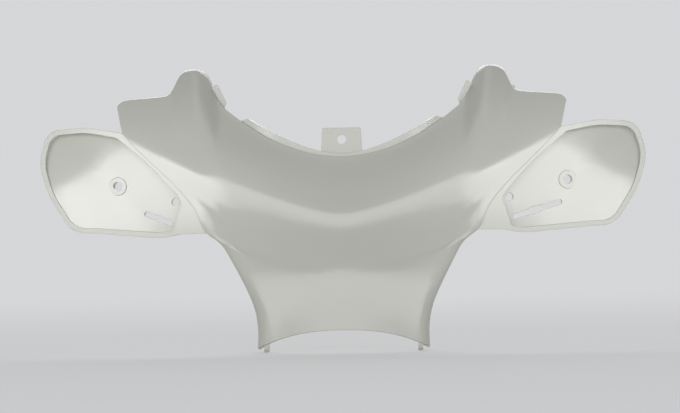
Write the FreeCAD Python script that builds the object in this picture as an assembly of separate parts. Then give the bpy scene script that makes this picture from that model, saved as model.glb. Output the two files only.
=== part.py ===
"""Front handlebar cover of a small scooter: one injection-moulded shell.

The shell is a rounded brow that follows the handlebar, with a horn on each
shoulder, an apron that runs down the middle to two slotted legs, and a winged
pocket at each side that takes a turn indicator. A lip and a drilled tab stand
behind the top edge for the instrument panel.

Units are millimetres. +X is to the right of someone who faces the cover, -Y is
forward and +Z is up. The origin is the centre of the hole in the top tab.
"""

import FreeCAD
import Part
import math
import os

Vector = FreeCAD.Vector

# Walls
WALL = 2.5
LIP_WALL = 2.2
TAB_WALL = 3.0
RIB_WALL = 2.0
RIB_UNDER = 0.5
SINK = 0.4

# Top edge: a bay for the instruments, a horn each side, then a shoulder
BAY_BOTTOM = -13.4
BAY_CURVE = 0.00468
BAY_REACH = 5.0
HORN_X = 114.5
HORN_TOP = 57.5
HORN_ROOT_X = 96.5
HORN_FLANK = 7.0
HORN_INNER_WIDTH = 12.3
HORN_INNER_DROP = 9.5
HORN_INNER_POWER = 2.5
HORN_OUTER_WIDTH = 17.0
HORN_OUTER_POWER = 8.0
HORN_BLEND = 18.0
HORN_BULGE = 9.0
HORN_BULGE_WIDTH = 10.0
HORN_LEAN = 0.14
HORN_FOOT = -10.0
HORN_RISE = 45.0
SHOULDER_TOP = 38.3
SHOULDER_FALL = 0.085
SHOULDER_END_X = 175.0
SHOULDER_CORNER = 5.0
REAR = 54.0
EDGE_STRIP = 2.5
HORN_ROUNDNESS = 1.6
SHOULDER_ROUNDNESS = 1.7

# Brow: its crest runs from the middle out to the top of the crease
CREST_MID = -62.0
CREST_MID_REACH = 38.5
CREST_END_X = 169.5
CREST_END = 6.5
CREST_RISE_POWER = 1.3
BOW_POWER = 1.8
BOW_END_X = 112.0
SHOULDER_BACK = 0.12
CREST_ROUND = 0.6

# Groove under the brow: how far it dips behind the brow, where it starts below the crest
GROOVE_MID = -99.0
GROOVE_END_X = 107.0
GROOVE_END = -71.5
GROOVE_RISE_POWER = 2.0
GROOVE_MID_DIP = 3.0
GROOVE_SIDE_DIP = 7.0
GROOVE_START = 0.18
GROOVE_START_RISE = 0.75
GROOVE_END_MARGIN = 0.045
GROOVE_END_FADE = 0.13
GROOVE_END_DROP = 0.16
CREASE_BOW = 10.0

# Apron below the groove
APRON_BOTTOM = -146.5
APRON_ARC_DROP = 14.0
APRON_ARC_POWER = 2.5
APRON_REACH = 40.5
APRON_SIDE_REACH = 31.0
APRON_WAIST_X = 63.3
APRON_WAIST = -135.7
APRON_FLARE = 0.525
APRON_WAIST_ROUND = 4.0
APRON_FOOT_FLARE = 3.0
APRON_FILLET = 0.45
APRON_CORNER = 0.05
SIDE_ROLL = 7.0
SIDE_ROLL_FROM = 0.5
SIDE_WALL_DEPTH = 18.0
SIDE_WALL_STEP = 0.6
SIDE_WALL_CLEAR = 30.0
SIDE_WALL = 1.7
SIDE_WALL_UNDER = 0.4
SIDE_WALL_ROLLED_UNDER = -0.6

# Legs at the foot of the apron
LEG_END = -161.3
LEG_RIB_END = -163.3
LEG_RIB_TOP = -136.5
LEG_RIB_INNER_X = 57.4
LEG_RIB_WIDTH = 3.6
LEG_RIB_DEPTH = 14.0
LEG_RIB_CHAMFER = 2.0

# Lip and tab behind the bay
LIP_TOP_LENGTH = 73.0
LIP_FOOT_LENGTH = 82.0
LIP_RISE_MID = 2.6
LIP_RISE_END = 6.0
LIP_RISE_LENGTH = 0.77
LIP_ROOT = 3.0
LIP_SETBACK = 1.5
TAB_TOP = 9.1
TAB_FOOT = -17.0
TAB_TOP_WIDTH = 30.0
TAB_FOOT_WIDTH = 32.4
TAB_CORNER = 1.2
TAB_HOLE = 7.2
GUSSET_SPACING = 22.0
GUSSET_HEIGHT = 13.0

# Clips beside the horns
CLIP_WALL = 2.5
CLIP_ANCHOR_X = 101.0
CLIP_ADVANCE = 1.5
NUB_X = 133.5
NUB_INSET = 8.0
NUB_WIDTH = 5.0
NUB_RISE = 3.2
NUB_ROOT = 1.6
NUB_CORNER = 1.0

# Indicator pockets
POCKET_SWEEP = 12.0
CREASE_STEP = 1.0
RIM_STEP = 0.8
POCKET_DEPTH = 9.0
POCKET_WALL_END = 0.7
FLOOR_TILT = 0.6
FLOOR_FALL = 0.16
RIM_BLEND = 40.0
LAMP_HOLE = 7.0
LAMP_HOLE_X = 174.8
LAMP_HOLE_Z = -33.9
LAMP_PAD = 14.0
LAMP_PAD_RISE = 0.8
LAMP_PAD_LENGTH = 5.0
PILOT_HOLE = 6.2
PILOT_X = 129.2
PILOT_Z = -46.7
SLOT_WIDTH = 4.0
SLOT_WIDE = 5.4
SLOT_WIDE_FROM = 0.3
SLOT_WIDE_TO = 0.6

# Corners of the pocket flange and of its dish: across, up, corner radius
FLANGE_CORNERS = [
    (170.5, 7.5, 0),
    (199, 12.4, 60),
    (229.3, 10.4, 14),
    (237, -15, 35),
    (229.5, -40, 60),
    (211, -69.4, 20),
    (190, -70.2, 0),
    (140, -74.6, 60),
    (125, -71.6, 30),
    (105.2, -71.2, 0),
    (104.2, -66, 0),
    (106, -60, 0),
    (112, -47.5, 0),
    (139, -20, 0),
    (164.5, 4, 0),
]
DISH_LOWER_SIDE = [(225.9, -38.9, 56), (208.9, -65.7, 16)]
DISH_CORNERS = [
    (174.5, 3.7, 2),
    (199, 8.4, 56),
    (226.2, 6.6, 11),
    (233, -15.2, 31),
    *DISH_LOWER_SIDE,
    (190, -66.4, 0),
    (139.5, -70.6, 40),
    (131, -69.8, 2.5),
    (123.6, -47.4, 3),
    (127.5, -41, 6),
    (148, -18.5, 100),
]
CLIP_CORNERS = [(98, 46, 1.5), (91, 31.2, 1.5), (92.3, 26.1, 1), (96, 27, 0), (103.5, 41, 0)]

# Pocket floor: from its bend upwards it falls back
FLOOR_BEND = ((220.0, -34.0), (173.6, -3.8))

# Slots in the pocket floors: from, to
RIGHT_SLOT = ((132.0, -62.4), (170.0, -50.6))
LEFT_SLOT = ((131.7, -63.6), (153.8, -55.1))

# Density of the pole nets
COARSE_COLUMN = 13.0
FINE_COLUMN = 4.5
FINE_SPAN = 36.0
EDGE_COLUMNS = 4
EDGE_FROM = 0.9
ROLL_ROWS = 5
ROLL_LEAD = 0.05
BROW_ROWS = 6
APRON_ROWS = 6
APRON_ROW_POWER = 1.5
DISH_COLUMNS = 13
DISH_ROWS = 9
DISH_MARGIN = 8.0
LIP_COLUMNS = 12
LIP_ROWS = 4
SIDE_WALL_ROWS = 4


def smooth(t):
    """0 to 1 with flat ends."""
    t = min(1.0, max(0.0, t))
    return t * t * (3 - 2 * t)


def mix(a, b, t):
    return a + (b - a) * t


def lopsided(t):
    """A hump from 0 to 0 with its top, 1, two thirds along."""
    return 6.75 * t * t * (1 - t)


def eased(t, bend):
    """0 to 1: a parabola up to bend, then a straight line."""
    if t < bend:
        return t * t / (bend * (2 - bend))
    return (2 * t - bend) / (2 - bend)


def point(x, reach, z):
    """A point given by how far it reaches forward."""
    return Vector(x, -reach, z)


def mirrored(p):
    return Vector(-p.x, p.y, p.z)


def other_side(shape):
    return shape.mirror(Vector(0, 0, 0), Vector(1, 0, 0))


# The skin's lines


def bay_edge(x):
    return BAY_BOTTOM + BAY_CURVE * x * x


def top_edge(x):
    """Height of the top outline."""
    if x < HORN_X:
        horn = HORN_TOP - HORN_INNER_DROP * ((HORN_X - x) / HORN_INNER_WIDTH) ** HORN_INNER_POWER
        return mix(bay_edge(x), horn, smooth((x - HORN_ROOT_X) / HORN_FLANK))
    out = x - HORN_X
    horn = (HORN_TOP - SHOULDER_TOP) * math.exp(-(out / HORN_OUTER_WIDTH) ** HORN_OUTER_POWER)
    past = max(0.0, x - SHOULDER_END_X + SHOULDER_CORNER)
    corner = SHOULDER_CORNER - math.sqrt(max(0.0, SHOULDER_CORNER ** 2 - past ** 2))
    return SHOULDER_TOP - SHOULDER_FALL * out + horn - corner


def horn_bulge(x, z):
    """How far the front of a horn stands out, most along its ridge."""
    ridge = HORN_X - HORN_LEAN * (HORN_TOP - z)
    return HORN_BULGE * math.exp(-((x - ridge) / HORN_BULGE_WIDTH) ** 2) * smooth((z - HORN_FOOT) / HORN_RISE)


def rolled(x):
    """0 where the top edge is the bay's plain edge, 1 where it rolls back over the bar."""
    return smooth((x - HORN_ROOT_X) / HORN_BLEND)


def apron_side(z):
    """Half width of the apron."""
    half = (z - APRON_WAIST) / 2
    flare = APRON_FLARE * (half + math.hypot(half, APRON_WAIST_ROUND))
    low = max(0.0, APRON_WAIST - z) / (APRON_WAIST - LEG_END)
    return APRON_WAIST_X + flare + APRON_FOOT_FLARE * low * low


def brow_reach(x):
    """Forward reach of the brow: a bow in the middle that runs out into the planes of the pockets."""
    sweep = math.tan(math.radians(POCKET_SWEEP))
    bow = sweep * BOW_END_X / BOW_POWER
    if x < BOW_END_X:
        return CREST_MID_REACH - bow * (x / BOW_END_X) ** BOW_POWER
    return CREST_MID_REACH - bow - (x - BOW_END_X) * sweep


def crest(u):
    x = CREST_END_X * u
    return point(x, brow_reach(x), mix(CREST_MID, CREST_END, u ** CREST_RISE_POWER))


def groove_dip(u):
    """How far the groove lies behind the brow on rib u."""
    return mix(GROOVE_MID_DIP, GROOVE_SIDE_DIP, smooth(u))


def groove_end(u):
    """1 along the groove, 0 at the crease, where the brow runs flat into the pocket."""
    return smooth((1 - GROOVE_END_MARGIN - u) / GROOVE_END_FADE)


def groove(u):
    x = GROOVE_END_X * u
    return point(x, brow_reach(x) - groove_dip(u), mix(GROOVE_MID, GROOVE_END, u ** GROOVE_RISE_POWER))


def foot(u):
    return point(
        apron_side(APRON_BOTTOM - APRON_ARC_DROP) * u,
        mix(APRON_REACH, APRON_SIDE_REACH, u ** BOW_POWER),
        APRON_BOTTOM - APRON_ARC_DROP * u ** APRON_ARC_POWER,
    )


def back_slope(u):
    """How far the skin falls back for each millimetre that it rises above the crest."""
    ramp = (CREST_MID_REACH - BAY_REACH) / (BAY_BOTTOM - CREST_MID)
    return ramp + SHOULDER_BACK * u * u


def top(u):
    """Point of the top outline on rib u."""
    x = SHOULDER_END_X * u
    c = crest(u)
    z = top_edge(x)
    return point(x, -c.y - back_slope(u) * (z - c.z), z)


def side_drop(d):
    """How far the skin has rolled back at a distance d inside the apron's side."""
    t = 1 - min(1.0, d / SIDE_ROLL)
    return SIDE_ROLL * (1 - math.sqrt(1 - t * t))


def upper_rib(u):
    """Poles from the rear of the top edge to the crest."""
    c = crest(u)
    edge = top(u)
    roll = rolled(edge.x)
    ramp = c - edge
    ramp.normalize()
    start = edge + ramp * (EDGE_STRIP * (1 - roll))
    back = Vector(0, REAR - edge.y, 0) * roll - ramp * (EDGE_STRIP * (1 - roll))
    horn_u = HORN_X / SHOULDER_END_X
    round_power = mix(HORN_ROUNDNESS, SHOULDER_ROUNDNESS, smooth((u - horn_u) / (1 - horn_u)))
    poles = [start + back, start]
    path = [(mix(ROLL_LEAD, 0, roll), ROLL_LEAD)]
    for i in range(1, ROLL_ROWS + 1):
        plain = i / ROLL_ROWS
        angle = math.pi / 2 * plain
        along = mix(plain, 1 - max(0.0, math.cos(angle)) ** round_power, roll)
        forward = mix(1 - eased(1 - plain, CREST_ROUND), math.sin(angle) ** round_power, roll)
        path.append((along, forward))
    for along, forward in path:
        poles.append(Vector(mix(start.x, c.x, along), mix(start.y, c.y, forward), mix(start.z, c.z, along)))
    for p in poles[1:]:
        p.y -= horn_bulge(p.x, p.z) * roll
    return poles


def lower_rib(u):
    """Poles from below the crest to the groove, then from the groove to the foot of the apron."""
    c = crest(u)
    g = groove(u)
    f = foot(u)
    brow = []
    dip_from = GROOVE_START + GROOVE_START_RISE * u * u
    for i in range(1, BROW_ROWS + 1):
        t = i / BROW_ROWS
        x = mix(c.x, g.x, t) - CREASE_BOW * u * u * lopsided(t)
        dip = groove_dip(u) * groove_end(u) * smooth((t - dip_from) / (1 - dip_from))
        brow.append(point(x, brow_reach(x) - dip, mix(c.z, g.z, t)))
    apron = []
    for i in range(1, APRON_ROWS + 1):
        t = (i / APRON_ROWS) ** APRON_ROW_POWER
        side_z = mix(GROOVE_END, APRON_BOTTOM - APRON_ARC_DROP, t)
        corner = max(0.0, 1 - t / APRON_CORNER)
        half = apron_side(side_z) + (GROOVE_END_X - apron_side(GROOVE_END)) * corner * corner
        flush = groove_dip(u) * (1 - groove_end(u)) * (1 - smooth(t / GROOVE_END_DROP))
        drop = side_drop((1 - u) * half) * smooth(t / SIDE_ROLL_FROM) - flush
        apron.append(Vector(half * u, mix(g.y, f.y, eased(t, APRON_FILLET)) + drop, mix(g.z, f.z, t)))
    return brow, apron


def half_columns():
    """Rib positions from the middle to the side, closer together at the horn and at the side."""
    columns = []
    x = 0.0
    while x < EDGE_FROM * SHOULDER_END_X - FINE_COLUMN:
        columns.append(x / SHOULDER_END_X)
        away = abs(x - HORN_X) / FINE_SPAN
        x += mix(FINE_COLUMN, COARSE_COLUMN, smooth(2 * away - 1))
    close = [1 - (1 - EDGE_FROM) * (1 - i / EDGE_COLUMNS) ** 2 for i in range(EDGE_COLUMNS + 1)]
    return columns + close


def skin_poles():
    right = []
    for u in half_columns():
        brow, apron = lower_rib(u)
        right.append(upper_rib(u) + brow + apron)
    left = [[mirrored(p) for p in rib] for rib in right[:0:-1]]
    return left + right


# Walls from pole nets


def clamped(count, degree):
    spans = count - degree
    knots = [i / spans for i in range(spans + 1)]
    mults = [degree + 1] + [1] * (spans - 1) + [degree + 1]
    return knots, mults


def spline_face(poles):
    """A smooth face that follows a net of poles, straight in a direction that has only two."""
    surface = Part.BSplineSurface()
    u_degree = min(3, len(poles) - 1)
    v_degree = min(3, len(poles[0]) - 1)
    u_knots, u_mults = clamped(len(poles), u_degree)
    v_knots, v_mults = clamped(len(poles[0]), v_degree)
    surface.buildFromPolesMultsKnots(
        poles, u_mults, v_mults, u_knots, v_knots, False, False, u_degree, v_degree
    )
    return surface.toShape()


def offset_poles(poles, distance):
    """The net moved back along its own normals."""
    moved = []
    last_i = len(poles) - 1
    last_j = len(poles[0]) - 1
    for i, column in enumerate(poles):
        row = []
        for j, p in enumerate(column):
            across = poles[min(i + 1, last_i)][j] - poles[max(i - 1, 0)][j]
            down = column[min(j + 1, last_j)] - column[max(j - 1, 0)]
            normal = across.cross(down)
            normal.normalize()
            row.append(p + normal * distance)
        moved.append(row)
    return moved


def slab(poles, thickness, flanged=False):
    """A solid wall behind a net of poles.

    With a flange, the first row of poles is the flange's straight rear edge.
    """
    inner = offset_poles(poles, thickness)
    rows = [(0, 2), (1, None)] if flanged else [(0, None)]
    faces = []
    for first, last in rows:
        outer_net = [column[first:last] for column in poles]
        inner_net = [column[first:last] for column in inner]
        faces.append(spline_face(outer_net))
        faces.append(spline_face(inner_net))
        faces.append(spline_face([outer_net[0], inner_net[0]]))
        faces.append(spline_face([outer_net[-1], inner_net[-1]]))
    for end in (0, -1):
        faces.append(spline_face([[column[end] for column in net] for net in (poles, inner)]))
    shell = Part.makeShell(faces)
    shell.sewShape()
    solid = Part.makeSolid(shell)
    if solid.Volume < 0:
        solid.reverse()
    return solid


# Plates from outlines


def outline(corners):
    """A closed outline in the XZ plane with rounded corners."""
    count = len(corners)
    ends = []
    edges = []
    for i, (x, z, radius) in enumerate(corners):
        p = Vector(x, 0, z)
        before = Vector(corners[i - 1][0], 0, corners[i - 1][1]) - p
        after = Vector(corners[(i + 1) % count][0], 0, corners[(i + 1) % count][1]) - p
        before.normalize()
        after.normalize()
        if radius == 0:
            ends.append((p, p))
            continue
        half = before.getAngle(after) / 2
        reach = radius / math.tan(half)
        middle = before + after
        middle.normalize()
        top_of_arc = p + middle * (radius / math.sin(half) - radius)
        first = p + before * reach
        last = p + after * reach
        ends.append((first, last))
        edges.append(Part.Arc(first, top_of_arc, last).toShape())
    for i in range(count):
        edges.append(Part.makeLine(ends[i - 1][1], ends[i][0]))
    return Part.Wire(Part.__sortEdges__(edges))


def grown(corners, distance):
    """The same outline moved outwards. The corners run clockwise as seen from the front."""
    count = len(corners)
    out = []
    for i, (x, z, radius) in enumerate(corners):
        p = Vector(x, 0, z)
        into = p - Vector(corners[i - 1][0], 0, corners[i - 1][1])
        away = Vector(corners[(i + 1) % count][0], 0, corners[(i + 1) % count][1]) - p
        into.normalize()
        away.normalize()
        n1 = Vector(-into.z, 0, into.x)
        n2 = Vector(-away.z, 0, away.x)
        shift = (n1 + n2) * (distance / (1 + n1.dot(n2)))
        out.append((x + shift.x, z + shift.z, radius + distance if radius else 0))
    return out


def plate(corners, front, rear):
    face = Part.Face(outline(corners))
    face.translate(Vector(0, front, 0))
    return face.extrude(Vector(0, rear - front, 0))


def side_plate(corners, left, right):
    """A plate that stands fore and aft, from its corners in the YZ plane."""
    points = [Vector(left, y, z) for y, z in corners]
    face = Part.Face(Part.makePolygon(points + points[:1]))
    return face.extrude(Vector(right - left, 0, 0))


def peg(diameter, x, z, front, rear):
    return Part.makeCylinder(diameter / 2, rear - front, Vector(x, front, z), Vector(0, 1, 0))


# Pockets, modelled flat with the rim plane at y = 0 and then swept back


def flat_x(x, depth=0.0):
    """Place along the flat pocket of what is seen at x from the front, at a depth behind the rim."""
    sweep = math.radians(POCKET_SWEEP)
    return (x - BOW_END_X + depth * math.sin(sweep)) / math.cos(sweep)


def flat_corners(corners):
    return [(flat_x(x), z, radius) for x, z, radius in corners]


def from_line(x, z, a, b):
    """How far a place lies inside the line through two corners, 0 when it is outside."""
    along_x = b[0] - a[0]
    along_z = b[1] - a[1]
    across = (x - a[0]) * along_z - (z - a[1]) * along_x
    return max(0.0, across / math.hypot(along_x, along_z))


def dish_depth(x, z):
    """Depth of the pocket floor: it comes up to the rim at the lower outer side and falls back at the top."""
    xs = [corner[0] for corner in DISH_CORNERS]
    tilt = 1 - FLOOR_TILT * min(1.0, max(0.0, (x - min(xs)) / (max(xs) - min(xs))))
    rim = min(1.0, from_line(x, z, *DISH_LOWER_SIDE) / RIM_BLEND)
    return RIM_STEP + POCKET_DEPTH * tilt * rim + FLOOR_FALL * from_line(x, z, *FLOOR_BEND)


def dish_poles():
    xs = [c[0] for c in DISH_CORNERS]
    zs = [c[1] for c in DISH_CORNERS]
    net = []
    for i in range(DISH_COLUMNS):
        x = mix(min(xs) - DISH_MARGIN, max(xs) + DISH_MARGIN, i / (DISH_COLUMNS - 1))
        column = []
        for j in range(DISH_ROWS):
            z = mix(max(zs) + DISH_MARGIN, min(zs) - DISH_MARGIN, j / (DISH_ROWS - 1))
            column.append(Vector(flat_x(x), dish_depth(x, z), z))
        net.append(column)
    return net


def pocket(slot):
    """The right-hand pocket, with a slot between two points of its floor."""
    flange = flat_corners(FLANGE_CORNERS)
    dish = flat_corners(DISH_CORNERS)
    far = RIM_STEP + POCKET_DEPTH + 4 * WALL
    floor_net = dish_poles()
    wall = plate(grown(dish, WALL), WALL / 2, far)
    wall = wall.cut(slab(offset_poles(floor_net, POCKET_WALL_END * WALL), far))
    rim = plate(flange, 0, WALL).fuse(wall)
    rim = rim.cut(plate(dish, -WALL, far))
    floor = slab(floor_net, WALL).common(plate(grown(dish, WALL / 2), -WALL, far))
    face = dish_depth(LAMP_HOLE_X, LAMP_HOLE_Z) - LAMP_PAD_RISE
    x = flat_x(LAMP_HOLE_X, face)
    pad = peg(LAMP_PAD, x, LAMP_HOLE_Z, face, face + LAMP_PAD_LENGTH)
    shape = rim.fuse([floor, pad])
    shape = shape.cut(peg(LAMP_HOLE, x, LAMP_HOLE_Z, -WALL, far))
    pilot_x = flat_x(PILOT_X, dish_depth(PILOT_X, PILOT_Z))
    shape = shape.cut(peg(PILOT_HOLE, pilot_x, PILOT_Z, -WALL, far))
    return shape.cut(slot_tool(slot, -WALL, far))


def slot_tool(slot, front, rear):
    """A round-ended slot with a wider stretch in its middle."""
    (x1, z1), (x2, z2) = slot
    a = Vector(flat_x(x1, dish_depth(x1, z1)), 0, z1)
    b = Vector(flat_x(x2, dish_depth(x2, z2)), 0, z2)
    thin = bar(a, b, SLOT_WIDTH, front, rear)
    wide = bar(a + (b - a) * SLOT_WIDE_FROM, a + (b - a) * SLOT_WIDE_TO, SLOT_WIDE, front, rear)
    return thin.fuse(wide)


def bar(a, b, width, front, rear):
    along = b - a
    along.normalize()
    side = Vector(-along.z, 0, along.x) * (width / 2)
    cap = along * (width / 2)
    edges = [
        Part.makeLine(a + side + cap, b + side - cap),
        Part.Arc(b + side - cap, b, b - side - cap).toShape(),
        Part.makeLine(b - side - cap, a - side + cap),
        Part.Arc(a - side + cap, a, a + side + cap).toShape(),
    ]
    face = Part.Face(Part.Wire(edges))
    face.translate(Vector(0, front, 0))
    return face.extrude(Vector(0, rear - front, 0))


def swept(shape):
    shape = shape.copy()
    shape.rotate(Vector(0, 0, 0), Vector(0, 0, 1), POCKET_SWEEP)
    shape.translate(Vector(BOW_END_X, CREASE_STEP - brow_reach(BOW_END_X), 0))
    return shape


# Lip, tab, clips, walls and legs


def lip():
    """An upright strip just behind the bay's edge, with slanted ends."""
    half = []
    for i in range(LIP_COLUMNS + 1):
        along = i / LIP_COLUMNS
        rise = mix(LIP_RISE_MID, LIP_RISE_END, smooth(along / LIP_RISE_LENGTH))
        rib = []
        for j in range(LIP_ROWS + 1):
            down = j / LIP_ROWS
            edge = top(mix(LIP_TOP_LENGTH, LIP_FOOT_LENGTH, down) / SHOULDER_END_X * along)
            rib.append(edge + Vector(0, LIP_SETBACK, mix(rise, -LIP_ROOT, down)))
        half.append(rib)
    net = [[mirrored(p) for p in rib] for rib in half[:0:-1]] + half
    return slab(net, LIP_WALL)


def tab():
    top_half = TAB_TOP_WIDTH / 2
    foot_half = TAB_FOOT_WIDTH / 2
    corners = [
        (-top_half, TAB_TOP, TAB_CORNER),
        (top_half, TAB_TOP, TAB_CORNER),
        (foot_half, TAB_FOOT, 0),
        (-foot_half, TAB_FOOT, 0),
    ]
    shape = plate(corners, -TAB_WALL / 2, TAB_WALL / 2)
    shape = shape.fuse([gusset(-GUSSET_SPACING / 2), gusset(GUSSET_SPACING / 2)])
    return shape.cut(peg(TAB_HOLE, 0, 0, -TAB_WALL, TAB_WALL))


def gusset(x):
    """A rib between the foot of the tab and the skin in front of it."""
    slope = back_slope(0)
    sunk = RIB_UNDER * WALL * math.hypot(1, slope)
    front_top = BAY_REACH - sunk
    front_low = BAY_REACH + slope * GUSSET_HEIGHT - sunk
    corners = [
        (0, BAY_BOTTOM),
        (-front_top, BAY_BOTTOM),
        (-front_low, BAY_BOTTOM - GUSSET_HEIGHT),
        (0, TAB_FOOT + SINK),
    ]
    return side_plate(corners, x - RIB_WALL / 2, x + RIB_WALL / 2)


def clip():
    front = top(CLIP_ANCHOR_X / SHOULDER_END_X).y - CLIP_ADVANCE
    return plate(CLIP_CORNERS, front, front + CLIP_WALL)


def nub():
    low = top_edge(NUB_X) - NUB_ROOT
    high = top_edge(NUB_X) + NUB_RISE
    half = NUB_WIDTH / 2
    corners = [
        (NUB_X - half, high, NUB_CORNER),
        (NUB_X + half, high, NUB_CORNER),
        (NUB_X + half, low, 0),
        (NUB_X - half, low, 0),
    ]
    return plate(corners, REAR - NUB_INSET - CLIP_WALL, REAR - NUB_INSET)


def side_wall():
    """The wall behind the rolled side of the apron, down to the tip of the leg."""
    apron = lower_rib(1.0)[1]
    edge = [p for p in apron if p.z < GROOVE_END - SIDE_WALL_CLEAR]
    tip = edge[-1]
    edge.append(Vector(tip.x, tip.y, LEG_END))
    net = []
    for p in edge:
        x = p.x - SIDE_WALL_STEP
        rolled_off = smooth((GROOVE_END - p.z) / (GROOVE_END - LEG_END) / SIDE_ROLL_FROM)
        front = WALL * mix(SIDE_WALL_UNDER, SIDE_WALL_ROLLED_UNDER, rolled_off)
        row = []
        for j in range(SIDE_WALL_ROWS + 1):
            row.append(Vector(x, p.y + mix(front, SIDE_WALL_DEPTH, j / SIDE_WALL_ROWS), p.z))
        net.append(row)
    return slab(net[::-1], SIDE_WALL)


def leg_rib():
    """The inner prong of the leg, a rib that stands behind the skin."""
    u = (LEG_RIB_INNER_X + LEG_RIB_WIDTH) / apron_side(LEG_END)
    apron = lower_rib(u)[1]
    face = [p for p in apron if p.z < LEG_RIB_TOP]
    first = face[0]
    last = face[-1]
    under = RIB_UNDER * WALL
    tip_y = last.y + under
    rear = tip_y + LEG_RIB_DEPTH
    corners = [
        (first.y + under, first.z),
        (tip_y, last.z),
        (tip_y, LEG_RIB_END + LEG_RIB_CHAMFER),
        (tip_y + LEG_RIB_CHAMFER, LEG_RIB_END),
        (rear - LEG_RIB_CHAMFER, LEG_RIB_END),
        (rear, LEG_RIB_END + LEG_RIB_CHAMFER),
        (rear, first.z - LEG_RIB_CHAMFER),
        (first.y + 3 * WALL, first.z),
    ]
    return side_plate(corners, LEG_RIB_INNER_X, LEG_RIB_INNER_X + LEG_RIB_WIDTH)


def cover():
    pieces = [lip(), tab()]
    for piece in (clip(), nub(), side_wall(), leg_rib()):
        pieces.append(piece)
        pieces.append(other_side(piece))
    pieces.append(swept(pocket(RIGHT_SLOT)))
    pieces.append(other_side(swept(pocket(LEFT_SLOT))))
    return slab(skin_poles(), WALL, True).fuse(pieces)


def main():
    os.makedirs("parts", exist_ok=True)
    cover().exportStep("parts/handlebar_cover.step")


main()
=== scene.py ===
"""Looks of the scooter handlebar cover: satin white moulded plastic in a plain pale studio."""

import math

import bpy
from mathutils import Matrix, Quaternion, Vector


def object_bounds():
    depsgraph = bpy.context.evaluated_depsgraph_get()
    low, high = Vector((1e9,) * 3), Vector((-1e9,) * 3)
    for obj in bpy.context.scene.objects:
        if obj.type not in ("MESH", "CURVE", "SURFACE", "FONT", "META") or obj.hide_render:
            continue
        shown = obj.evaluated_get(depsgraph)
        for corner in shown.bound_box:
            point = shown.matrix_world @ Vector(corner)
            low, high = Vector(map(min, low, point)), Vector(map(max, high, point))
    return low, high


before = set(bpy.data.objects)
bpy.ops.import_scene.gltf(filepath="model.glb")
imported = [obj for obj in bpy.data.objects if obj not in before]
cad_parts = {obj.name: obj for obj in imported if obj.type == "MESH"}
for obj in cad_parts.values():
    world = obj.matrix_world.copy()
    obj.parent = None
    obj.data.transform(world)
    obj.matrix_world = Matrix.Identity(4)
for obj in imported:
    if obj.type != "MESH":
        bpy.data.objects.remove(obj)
cad_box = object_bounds()

# Camera: metres, with the width of the view at the cover
CAMERA_DISTANCE = 2.5
CAMERA_YAW = math.radians(1.84)
CAMERA_ROLL = math.radians(0.9)
FRAME_WIDTH = 0.5286
AIM_ACROSS = -0.0021
AIM_UP = -0.0521
SENSOR_WIDTH = 36.0

# Plastic: tone, polish, mould waviness and grain from noise, and edges rounded by the shader
PLASTIC_IOR = 1.54
NOISE_LOW = 0.3
NOISE_HIGH = 0.7
TONE_NOISE = {"Scale": 9.0, "Detail": 3.0, "Roughness": 0.5}
TONE_DARK = (0.548, 0.555, 0.503, 1)
TONE_PALE = (0.575, 0.582, 0.532, 1)
POLISH_NOISE = {"Scale": 45.0, "Detail": 4.0, "Roughness": 0.6}
ROUGHNESS_LOW = 0.17
ROUGHNESS_HIGH = 0.2
WAVE_NOISE = {"Scale": 26.0, "Detail": 1.0, "Roughness": 0.4}
WAVE_STRENGTH = 0.3
WAVE_DEPTH = 0.0004
GRAIN_NOISE = {"Scale": 1400.0, "Detail": 2.0, "Roughness": 0.5}
GRAIN_STRENGTH = 0.12
GRAIN_DEPTH = 0.0001
EDGE_RADIUS = 0.0005
EDGE_SAMPLES = 6

# Floor: it takes on the background's colour with distance from the cover
BACKGROUND = (0.67, 0.675, 0.685)
FLOOR_COLOUR = (0.80, 0.805, 0.81)
FLOOR_RADIUS = 9.0
FLOOR_SIDES = 96
FLOOR_FADE_START = 0.2
FLOOR_FADE_END = 2.4
FLOOR_NEAR_SHARE = 0.6
FLOOR_GAP = 0.0005

# Lamps: a broad key in front, a small strip before each wing, and fills above and behind
WORLD_LIGHT = 0.2
KEY_POWER = 41.0
KEY_WIDTH = 4.6
KEY_HEIGHT = 0.95
KEY_PLACE = Vector((0, -2.8, 0.315))
STRIPS = (
    ("left_strip", 0.032, Vector((-0.258, -0.23, -0.02))),
    ("right_strip", 0.026, Vector((0.248, -0.23, -0.02))),
)
STRIP_WIDTH = 0.14
STRIP_HEIGHT = 0.085
STRIP_SPREAD = math.radians(80)
STRIP_AIM = 0.165
TOP_POWER = 3.0
TOP_SIZE = 1.8
TOP_PLACE = Vector((0, -0.2, 1.7))
BACK_POWER = 42.0
BACK_WIDTH = 3.0
BACK_HEIGHT = 2.0
BACK_PLACE = Vector((0, 2.3, 1.6))


def node(tree, kind, **inputs):
    """A shader node with its unlinked inputs set by name."""
    made = tree.nodes.new(kind)
    for name, value in inputs.items():
        made.inputs[name.replace("_", " ")].default_value = value
    return made


def noise(tree, place, settings):
    """Noise over the object's own coordinates."""
    made = node(tree, "ShaderNodeTexNoise", **settings)
    tree.links.new(place, made.inputs["Vector"])
    return made.outputs["Fac"]


def bumped(tree, normal, height, strength, depth):
    """A normal with a bump laid over it."""
    made = node(tree, "ShaderNodeBump", Strength=strength, Distance=depth)
    tree.links.new(height, made.inputs["Height"])
    tree.links.new(normal, made.inputs["Normal"])
    return made.outputs["Normal"]


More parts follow.
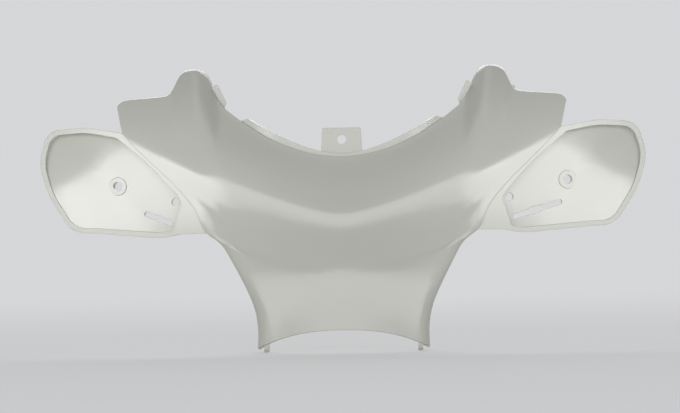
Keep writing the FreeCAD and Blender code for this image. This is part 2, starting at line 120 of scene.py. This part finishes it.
def plastic():
    """Satin white moulded plastic: tone clouds, uneven polish, faint mould waves and fine grain."""
    material = bpy.data.materials.new("shell_plastic")
    material.use_nodes = True
    tree = material.node_tree
    shader = tree.nodes["Principled BSDF"]
    shader.inputs["IOR"].default_value = PLASTIC_IOR
    place = tree.nodes.new("ShaderNodeTexCoord").outputs["Object"]

    tone = tree.nodes.new("ShaderNodeValToRGB")
    dark, pale = tone.color_ramp.elements
    dark.position, dark.color = NOISE_LOW, TONE_DARK
    pale.position, pale.color = NOISE_HIGH, TONE_PALE
    tree.links.new(noise(tree, place, TONE_NOISE), tone.inputs["Fac"])
    tree.links.new(tone.outputs["Color"], shader.inputs["Base Color"])

    gloss = node(
        tree, "ShaderNodeMapRange", From_Min=NOISE_LOW, From_Max=NOISE_HIGH,
        To_Min=ROUGHNESS_LOW, To_Max=ROUGHNESS_HIGH,
    )
    tree.links.new(noise(tree, place, POLISH_NOISE), gloss.inputs["Value"])
    tree.links.new(gloss.outputs["Result"], shader.inputs["Roughness"])

    edge = node(tree, "ShaderNodeBevel", Radius=EDGE_RADIUS)
    edge.samples = EDGE_SAMPLES
    waves = noise(tree, place, WAVE_NOISE)
    grain = noise(tree, place, GRAIN_NOISE)
    normal = bumped(tree, edge.outputs["Normal"], waves, WAVE_STRENGTH, WAVE_DEPTH)
    normal = bumped(tree, normal, grain, GRAIN_STRENGTH, GRAIN_DEPTH)
    tree.links.new(normal, shader.inputs["Normal"])
    return material


def background_rays(tree):
    """1 for rays that show the background: the camera's, reflections and those through glass."""
    path = tree.nodes.new("ShaderNodeLightPath")
    share = path.outputs["Is Camera Ray"]
    for kind in ("Is Glossy Ray", "Is Transmission Ray"):
        either = tree.nodes.new("ShaderNodeMath")
        either.operation = "MAXIMUM"
        tree.links.new(share, either.inputs[0])
        tree.links.new(path.outputs[kind], either.inputs[1])
        share = either.outputs["Value"]
    return share


def floor_material():
    """Pale floor that takes the shadow near the object and fades into the background."""
    material = bpy.data.materials.new("studio_floor")
    material.use_nodes = True
    tree = material.node_tree
    tree.nodes.clear()
    near = node(tree, "ShaderNodeBsdfDiffuse", Color=(*FLOOR_COLOUR, 1))
    far = node(tree, "ShaderNodeEmission", Color=(*BACKGROUND, 1), Strength=1.0)
    place = tree.nodes.new("ShaderNodeTexCoord")
    reach = tree.nodes.new("ShaderNodeVectorMath")
    reach.operation = "LENGTH"
    fade = node(
        tree, "ShaderNodeMapRange", From_Min=FLOOR_FADE_START, From_Max=FLOOR_FADE_END,
        To_Min=FLOOR_NEAR_SHARE,
    )
    fade.interpolation_type = "SMOOTHSTEP"
    share = tree.nodes.new("ShaderNodeMath")
    share.operation = "MULTIPLY"
    mixed = tree.nodes.new("ShaderNodeMixShader")
    out = tree.nodes.new("ShaderNodeOutputMaterial")
    tree.links.new(place.outputs["Object"], reach.inputs[0])
    tree.links.new(reach.outputs["Value"], fade.inputs["Value"])
    tree.links.new(fade.outputs["Result"], share.inputs[0])
    tree.links.new(background_rays(tree), share.inputs[1])
    tree.links.new(share.outputs["Value"], mixed.inputs["Fac"])
    tree.links.new(near.outputs["BSDF"], mixed.inputs[1])
    tree.links.new(far.outputs["Emission"], mixed.inputs[2])
    tree.links.new(mixed.outputs["Shader"], out.inputs["Surface"])
    return material


def floor(height):
    """A wide round floor under the object."""
    bpy.ops.mesh.primitive_circle_add(
        vertices=FLOOR_SIDES, radius=FLOOR_RADIUS, fill_type="NGON", location=(0, 0, height)
    )
    made = bpy.context.object
    made.name = "floor"
    made.data.materials.append(floor_material())


def studio_world():
    """Even soft light, with the pale background where camera and gloss see past the floor."""
    world = bpy.data.worlds.new("studio")
    bpy.context.scene.world = world
    world.use_nodes = True
    tree = world.node_tree
    tree.nodes.clear()
    light = node(tree, "ShaderNodeBackground", Color=(1, 1, 1, 1), Strength=WORLD_LIGHT)
    seen = node(tree, "ShaderNodeBackground", Color=(*BACKGROUND, 1), Strength=1.0)
    mixed = tree.nodes.new("ShaderNodeMixShader")
    out = tree.nodes.new("ShaderNodeOutputWorld")
    tree.links.new(background_rays(tree), mixed.inputs["Fac"])
    tree.links.new(light.outputs["Background"], mixed.inputs[1])
    tree.links.new(seen.outputs["Background"], mixed.inputs[2])
    tree.links.new(mixed.outputs["Shader"], out.inputs["Surface"])


def softbox(name, power, size, place, across=0.0, spread=math.pi):
    """A rectangular area lamp turned to a place across the cover's width."""
    data = bpy.data.lights.new(name, "AREA")
    data.shape = "RECTANGLE"
    data.energy = power
    data.size, data.size_y = size
    data.spread = spread
    lamp = bpy.data.objects.new(name, data)
    lamp.location = place
    lamp.rotation_mode = "QUATERNION"
    target = Vector((across, 0, AIM_UP))
    lamp.rotation_quaternion = (target - place).to_track_quat("-Z", "Y")
    lamp.visible_camera = False
    bpy.context.collection.objects.link(lamp)


def camera():
    """A long lens from the front, a little to the right, rolled slightly."""
    across = Vector((math.cos(CAMERA_YAW), math.sin(CAMERA_YAW), 0))
    back = Vector((math.sin(CAMERA_YAW), -math.cos(CAMERA_YAW), 0))
    data = bpy.data.cameras.new("camera")
    data.sensor_width = SENSOR_WIDTH
    data.lens = SENSOR_WIDTH * CAMERA_DISTANCE / FRAME_WIDTH
    made = bpy.data.objects.new("camera", data)
    made.location = across * AIM_ACROSS + Vector((0, 0, AIM_UP)) + back * CAMERA_DISTANCE
    made.rotation_mode = "QUATERNION"
    turn = (-back).to_track_quat("-Z", "Y")
    made.rotation_quaternion = turn @ Quaternion((0, 0, 1), -CAMERA_ROLL)
    bpy.context.collection.objects.link(made)
    bpy.context.scene.camera = made


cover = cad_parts["handlebar_cover"]
cover.data.materials.clear()
cover.data.materials.append(plastic())

floor(cad_box[0].z - FLOOR_GAP)
studio_world()
softbox("key", KEY_POWER, (KEY_WIDTH, KEY_HEIGHT), KEY_PLACE)
for name, power, place in STRIPS:
    wing = math.copysign(STRIP_AIM, place.x)
    softbox(name, power, (STRIP_WIDTH, STRIP_HEIGHT), place, wing, STRIP_SPREAD)
softbox("top", TOP_POWER, (TOP_SIZE, TOP_SIZE), TOP_PLACE)
softbox("back", BACK_POWER, (BACK_WIDTH, BACK_HEIGHT), BACK_PLACE)
camera()
bpy.context.scene.view_settings.view_transform = "Standard"
